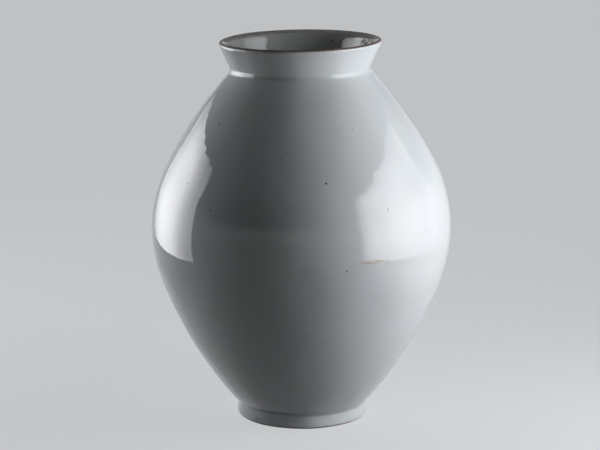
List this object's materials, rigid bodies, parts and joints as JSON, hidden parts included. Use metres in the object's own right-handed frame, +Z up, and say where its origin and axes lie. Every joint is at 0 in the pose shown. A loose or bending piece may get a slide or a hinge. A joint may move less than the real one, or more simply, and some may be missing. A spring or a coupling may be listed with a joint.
{
  "type": "porcelain jar",
  "caption": "Tall round-shouldered porcelain storage jar with a low foot ring and a short flared collar, thrown in sections luted with slip and glazed inside and out.",
  "frame": {"origin": "centre of the foot ring, in the plane that the foot rests on", "axes": "+Z up along the wheel's axis, -Y towards the front, +X to the right seen from the front"},
  "size_m": [0.3152, 0.3152, 0.4025],
  "materials": {
    "porcelain_body": "bare fired porcelain, fine-grained and matt, flushed orange-brown where it meets the glaze",
    "luting_slip": "fired slip in the joints, matt",
    "outer_glaze": "glossy clear glaze over white porcelain, cool white with faint blue and green clouds and a few iron specks",
    "inner_glaze": "glossy clear glaze, a little thinner and greyer than outside"
  },
  "bodies": {
    "root": {"foot_ring": "porcelain_body", "foot_slip": "luting_slip", "lower_bowl": "porcelain_body", "belly_slip": "luting_slip", "upper_bowl": "porcelain_body", "neck_slip": "luting_slip", "neck_collar": "porcelain_body", "outer_glaze": "outer_glaze", "inner_glaze": "inner_glaze", "foot_well_glaze": "outer_glaze"}
  },
  "joints": []
}
